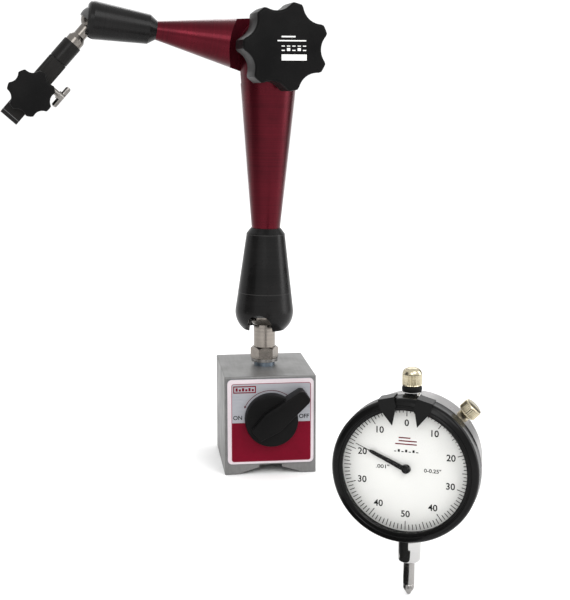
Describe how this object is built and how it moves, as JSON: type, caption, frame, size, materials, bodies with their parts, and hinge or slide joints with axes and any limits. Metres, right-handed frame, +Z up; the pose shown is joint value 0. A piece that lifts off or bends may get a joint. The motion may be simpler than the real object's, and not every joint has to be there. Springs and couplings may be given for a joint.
{
  "type": "dial indicator on magnetic base",
  "caption": "Plunger dial indicator beside its magnetic base stand with a two-arm, centrally locked articulated holder and fine-adjust stem clamp.",
  "frame": {"origin": "middle of the magnetic base's footprint, on the surface it stands on", "axes": "+Z up; the switch side of the base faces -Y; +X to the right seen from the switch side"},
  "size_m": [0.2081, 0.2578, 0.2533],
  "materials": {
    "base_paint": "satin grey lacquer over iron",
    "divider_metal": "non-magnetic spacer, ground and painted over with the poles",
    "bush_brass": "machined",
    "label_print": "printed foil plate, silver above and deep red below",
    "zinc": "clear zinc plate",
    "bright_steel": "bright turned steel",
    "ball_steel": "ground steel",
    "knob_plastic": "fine textured black plastic",
    "magnet": "ferrite",
    "liner_plastic": "dark grey low-friction plastic",
    "black_socket": "satin black coating over turned metal",
    "arm_red": "satin red anodised",
    "pad_steel": "hardened",
    "black_steel": "black oxide",
    "spring_steel": "bright wire",
    "case_silver": "satin silver",
    "stem_chrome": "polished chrome",
    "seal_rubber": "black",
    "cap_brass": "pale nickelled brass",
    "bezel_black": "gloss black enamel",
    "crystal_clear": "clear",
    "dial_white": "printed white dial with black graduations",
    "pointer_black": "matt black"
  },
  "bodies": {
    "base": {"pole_left": "base_paint", "pole_right": "base_paint", "pole_divider": "divider_metal", "label_plate": "label_print", "rotor_bush": "bush_brass", "stud_collar": "zinc", "spring_washer": "bright_steel", "stud_nut": "bright_steel", "base_ball_stud": "ball_steel"},
    "switch": {"switch_knob": "knob_plastic", "switch_shaft": "bright_steel", "magnet_rotor": "magnet", "knob_set_screw": "zinc"},
    "lower_liner": {"lower_ball_liner": "liner_plastic"},
    "stand_lower": {"lower_socket": "black_socket", "lower_sleeve": "black_socket", "lower_ball_pad": "pad_steel", "lower_push_rod": "bright_steel", "lower_arm": "arm_red", "elbow_friction_disc": "liner_plastic", "elbow_washer": "bright_steel"},
    "elbow_clamp": {"elbow_knob": "knob_plastic", "elbow_knob_insert": "bright_steel"},
    "stand_upper": {"upper_arm": "arm_red", "upper_socket": "black_socket", "upper_ball_pad": "pad_steel", "upper_push_rod": "bright_steel", "tie_bolt": "bright_steel"},
    "upper_liner": {"upper_ball_liner": "liner_plastic"},
    "holder_top": {"holder_ball_stud": "ball_steel", "fine_upper_block": "black_steel"},
    "holder_low": {"fine_housing": "black_steel", "fine_hinge_pin": "bright_steel", "fine_spring": "spring_steel"},
    "fine_adjuster": {"fine_screw": "bright_steel", "fine_screw_bar": "bright_steel"},
    "jaw": {"stem_clamp": "black_steel", "clamp_screw": "bright_steel", "clamp_washer": "bright_steel"},
    "jaw_knob": {"clamp_knob": "knob_plastic"},
    "indicator": {"case": "case_silver", "back_cover": "case_silver", "back_screws": "zinc", "stem_bush": "stem_chrome", "top_collar": "stem_chrome", "top_seal": "seal_rubber", "top_cap": "cap_brass", "hairspring": "spring_steel", "return_spring": "spring_steel"},
    "bezel_ring": {"bezel": "bezel_black", "crystal": "crystal_clear", "dial": "dial_white"},
    "limit_left": {"limit_hand_left": "bezel_black"},
    "limit_right": {"limit_hand_right": "bezel_black"},
    "bezel_lock": {"bezel_screw": "cap_brass"},
    "plunger": {"spindle": "bright_steel", "contact_point": "bright_steel"},
    "hand": {"pointer": "pointer_black", "centre_arbor": "bright_steel"},
    "gear": {"rack_gear": "cap_brass"}
  },
  "joints": [
    {"name": "switch_turn", "type": "hinge", "parent": "base", "child": "switch", "pos_m": [0, 0, 0.0313], "axis": [0, -1, 0], "range_deg": [0, 105]},
    {"name": "lower_swivel", "type": "hinge", "parent": "base", "child": "lower_liner", "pos_m": [0, 0, 0.0853], "axis": [0, 0, 1], "continuous": true},
    {"name": "lower_tilt", "type": "hinge", "parent": "lower_liner", "child": "stand_lower", "pos_m": [0, 0, 0.0853], "axis": [0.9563, -0.2924, 0], "range_deg": [-18, 62]},
    {"name": "elbow_fold", "type": "hinge", "parent": "stand_lower", "child": "stand_upper", "pos_m": [0.00298, 0.00031, 0.2292], "axis": [0.1045, -0.9945, 0], "range_deg": [-100, 24]},
    {"name": "elbow_knob_turn", "type": "hinge", "parent": "stand_lower", "child": "elbow_clamp", "pos_m": [0.00298, 0.00031, 0.2292], "axis": [0.1045, -0.9945, 0], "range_deg": [0, 360]},
    {"name": "upper_tilt", "type": "hinge", "parent": "stand_upper", "child": "upper_liner", "pos_m": [-0.0907, -0.00953, 0.2434], "axis": [0.1045, -0.9945, 0], "range_deg": [-84, 16]},
    {"name": "holder_spin", "type": "hinge", "parent": "upper_liner", "child": "holder_top", "pos_m": [-0.0907, -0.00953, 0.2434], "axis": [-0.6642, -0.0698, -0.7443], "continuous": true},
    {"name": "fine_tilt", "type": "hinge", "parent": "holder_top", "child": "holder_low", "pos_m": [-0.11129, -0.0117, 0.22033], "axis": [0.1045, -0.9945, 0], "range_deg": [-2.05, 2.05]},
    {"name": "fine_screw_turn", "type": "hinge", "parent": "holder_low", "child": "fine_adjuster", "pos_m": [-0.1182, -0.01242, 0.21259], "axis": [0.7402, 0.0778, -0.6678], "range_deg": [-270, 270]},
    {"name": "clamp_swivel", "type": "hinge", "parent": "holder_low", "child": "jaw", "pos_m": [-0.12417, -0.01305, 0.20589], "axis": [0.1045, -0.9945, 0], "range_deg": [-42, 42]},
    {"name": "clamp_knob_turn", "type": "hinge", "parent": "jaw", "child": "jaw_knob", "pos_m": [-0.12417, -0.01305, 0.20589], "axis": [0.1045, -0.9945, 0], "range_deg": [0, 360]},
    {"name": "indicator_lift", "type": "slide", "parent": "base", "child": "indicator", "axis": [0, 0, 1], "range_m": [0, 0.12]},
    {"name": "bezel_turn", "type": "hinge", "parent": "indicator", "child": "bezel_ring", "pos_m": [0.038, -0.203, 0.057], "axis": [-0.4067, -0.9135, 0], "continuous": true},
    {"name": "limit_left_turn", "type": "hinge", "parent": "bezel_ring", "child": "limit_left", "pos_m": [0.038, -0.203, 0.057], "axis": [-0.4067, -0.9135, 0], "range_deg": [-5, 120]},
    {"name": "limit_right_turn", "type": "hinge", "parent": "bezel_ring", "child": "limit_right", "pos_m": [0.038, -0.203, 0.057], "axis": [-0.4067, -0.9135, 0], "range_deg": [-120, 5]},
    {"name": "bezel_lock_turn", "type": "hinge", "parent": "indicator", "child": "bezel_lock", "pos_m": [0.05668, -0.21022, 0.077], "axis": [0.646, -0.2876, 0.7071], "range_deg": [0, 360]},
    {"name": "plunger_travel", "type": "slide", "parent": "indicator", "child": "plunger", "axis": [0, 0, 1], "range_m": [0, 0.00635], "stiffness_N_per_m": 80, "springref_m": -0.012},
    {"name": "hand_turn", "type": "hinge", "parent": "indicator", "child": "hand", "pos_m": [0.038, -0.203, 0.057], "axis": [-0.4067, -0.9135, 0], "range_deg": [-901, 1]},
    {"name": "gear_turn", "type": "hinge", "parent": "indicator", "child": "gear", "pos_m": [0.0344, -0.2014, 0.06459], "axis": [-0.4067, -0.9135, 0], "range_deg": [-1, 194]}
  ],
  "couplings": [
    {"joint": "hand_turn", "follows": "plunger_travel", "rad_per_m": -2473.7},
    {"joint": "gear_turn", "follows": "plunger_travel", "rad_per_m": 530.08},
    {"joint": "fine_screw_turn", "follows": "fine_tilt", "ratio": 130.69}
  ]
}
